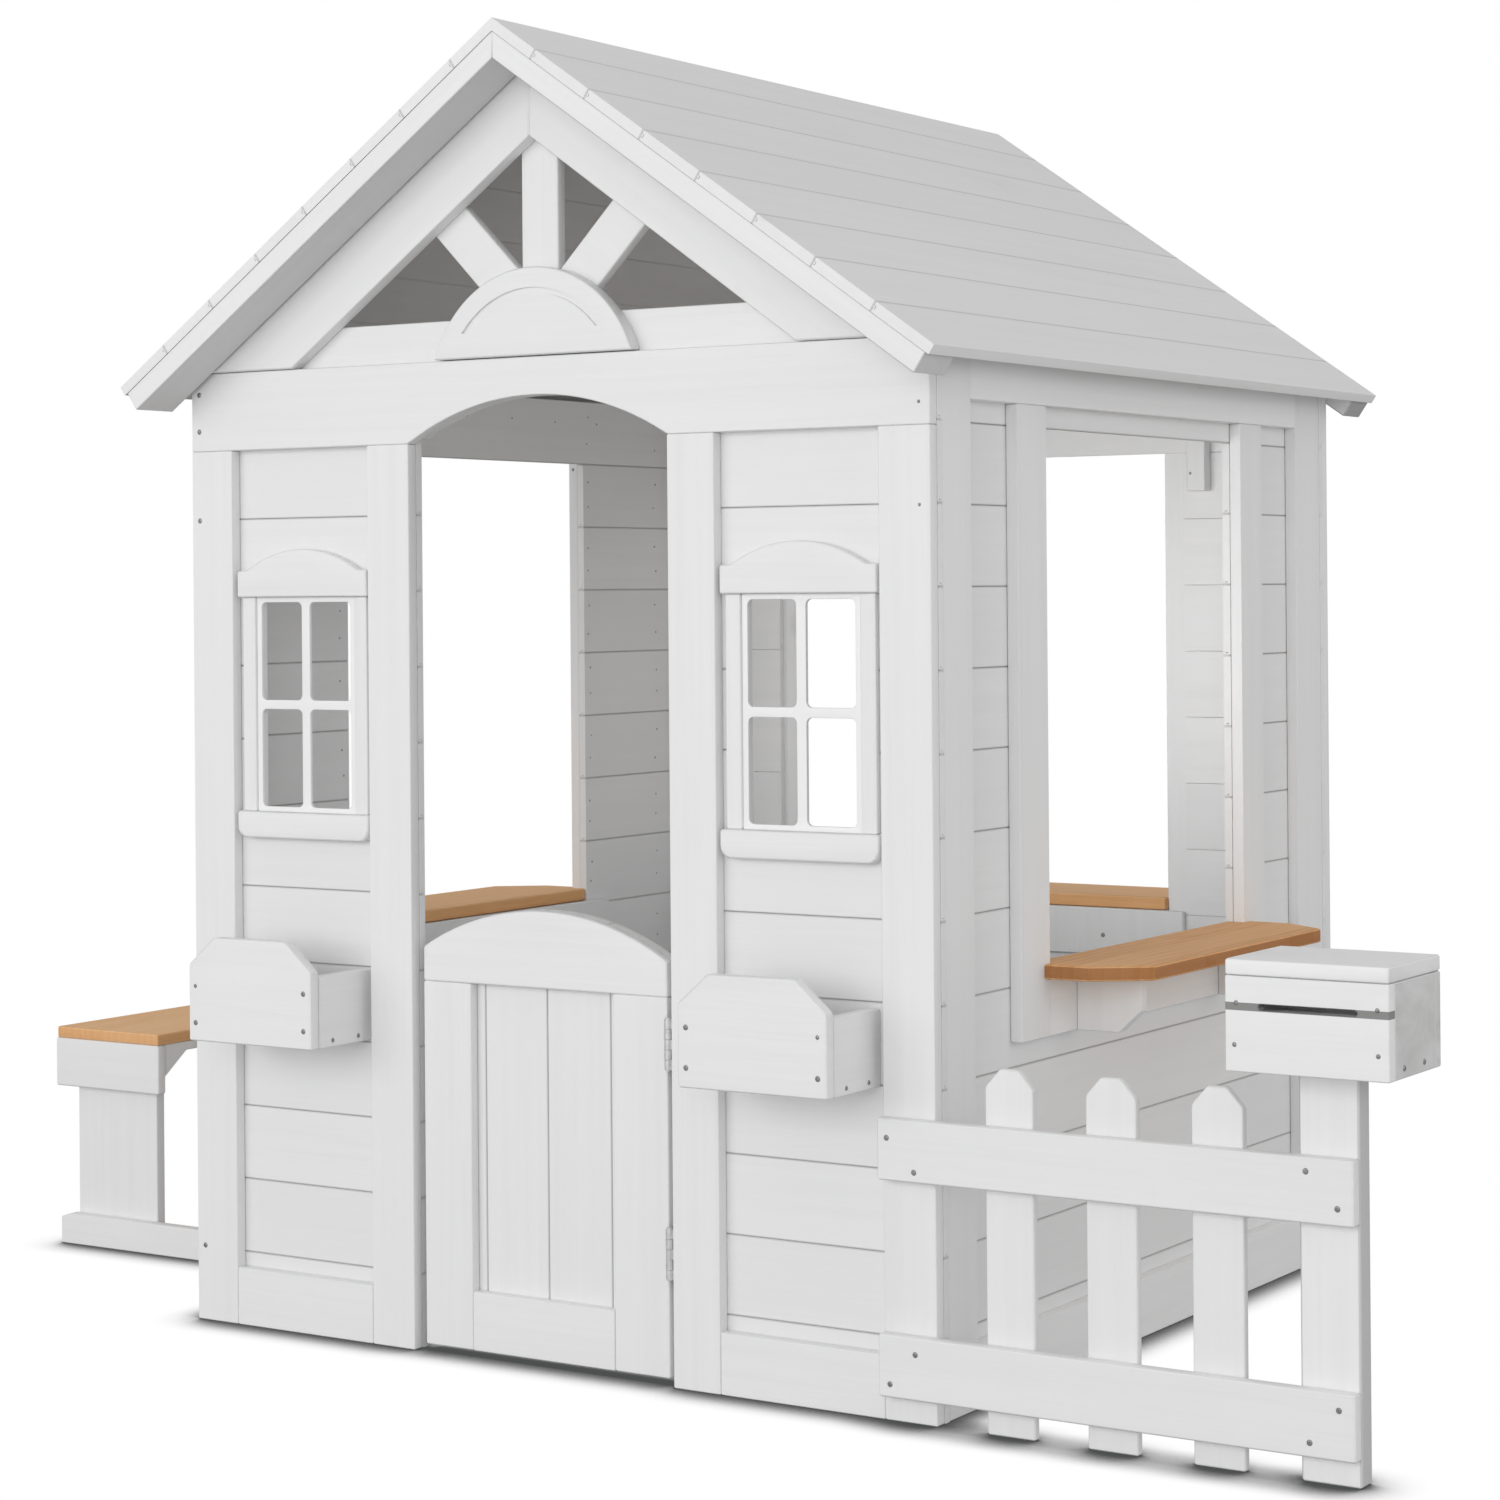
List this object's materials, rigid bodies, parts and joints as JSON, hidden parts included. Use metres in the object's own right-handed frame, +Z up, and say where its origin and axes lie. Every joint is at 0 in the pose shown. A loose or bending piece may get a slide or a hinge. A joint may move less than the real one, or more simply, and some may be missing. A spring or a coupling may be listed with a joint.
{
  "type": "timber playhouse",
  "caption": "Panelled gable-roofed playhouse with an arched doorway and outward half door, serving shelves, planters, attached bench, picket fence and a lidded letter box.",
  "frame": {"origin": "middle of the whole object's footprint, on the ground", "axes": "+Z up, +Y from the front wall towards the back wall, +X towards the fence and letter box side"},
  "size_m": [1.8678, 1.1304, 1.3752],
  "materials": {
    "white_timber": "white painted softwood, satin, faint grain and knots",
    "stained_timber": "brown stained softwood, satin",
    "window_moulding": "white moulded plastic, satin",
    "steel": "zinc plated steel"
  },
  "bodies": {
    "root": {"front_outer_stiles": "white_timber", "front_inner_stiles": "white_timber", "front_kick_boards": "white_timber", "front_boards": "white_timber", "door_header": "white_timber", "front_top_board": "white_timber", "window_lintels": "white_timber", "window_side_trims": "white_timber", "window_sills": "white_timber", "window_inserts": "window_moulding", "gable_rakes": "white_timber", "gable_tie_board": "white_timber", "gable_centre_spoke": "white_timber", "gable_diagonal_spokes": "white_timber", "gable_plaque": "white_timber", "right_wall_uprights": "white_timber", "right_wall_rails": "white_timber", "right_wall_boards": "white_timber", "right_wall_shelf_ledger": "white_timber", "right_wall_shelf": "stained_timber", "left_wall_uprights": "white_timber", "left_wall_rails": "white_timber", "left_wall_boards": "white_timber", "left_wall_shelf_ledger": "white_timber", "left_wall_shelf": "stained_timber", "back_wall_uprights": "white_timber", "back_wall_rails": "white_timber", "back_wall_boards": "white_timber", "back_wall_ledger_and_blocks": "white_timber", "back_wall_shelf": "stained_timber", "back_gable_rakes": "white_timber", "back_gable_boards": "white_timber", "shelf_brackets": "white_timber", "roof_right_boards": "white_timber", "roof_left_boards": "white_timber", "roof_battens": "white_timber", "planter_front_boards": "white_timber", "planter_side_boards": "white_timber", "planter_floors": "white_timber", "fixed_hinge_leaves": "steel", "hinge_pins": "steel", "fence_rails": "white_timber", "fence_pickets": "white_timber", "fence_post": "white_timber", "letterbox_front": "white_timber", "letterbox_walls": "white_timber", "letterbox_floor": "white_timber", "bench_seat": "stained_timber", "bench_aprons": "white_timber", "bench_legs": "white_timber", "bench_foot_rails": "white_timber", "screw_heads": "steel"},
    "half_door": {"door_stiles": "white_timber", "door_bottom_rail": "white_timber", "door_top_rail": "white_timber", "door_boards": "white_timber", "door_hinge_leaves": "steel"},
    "letterbox_lid": {"letterbox_lid": "white_timber", "lid_hinge_lid_leaves": "steel"}
  },
  "joints": [
    {"name": "half_door", "type": "hinge", "parent": "root", "child": "half_door", "pos_m": [0.14445, -0.47735, 0.24], "axis": [0, 0, 1], "range_deg": [0, 110]},
    {"name": "letterbox_lid", "type": "hinge", "parent": "root", "child": "letterbox_lid", "pos_m": [0.8556, -0.40585, 0.452], "axis": [-1, 0, 0], "range_deg": [0, 100]}
  ]
}
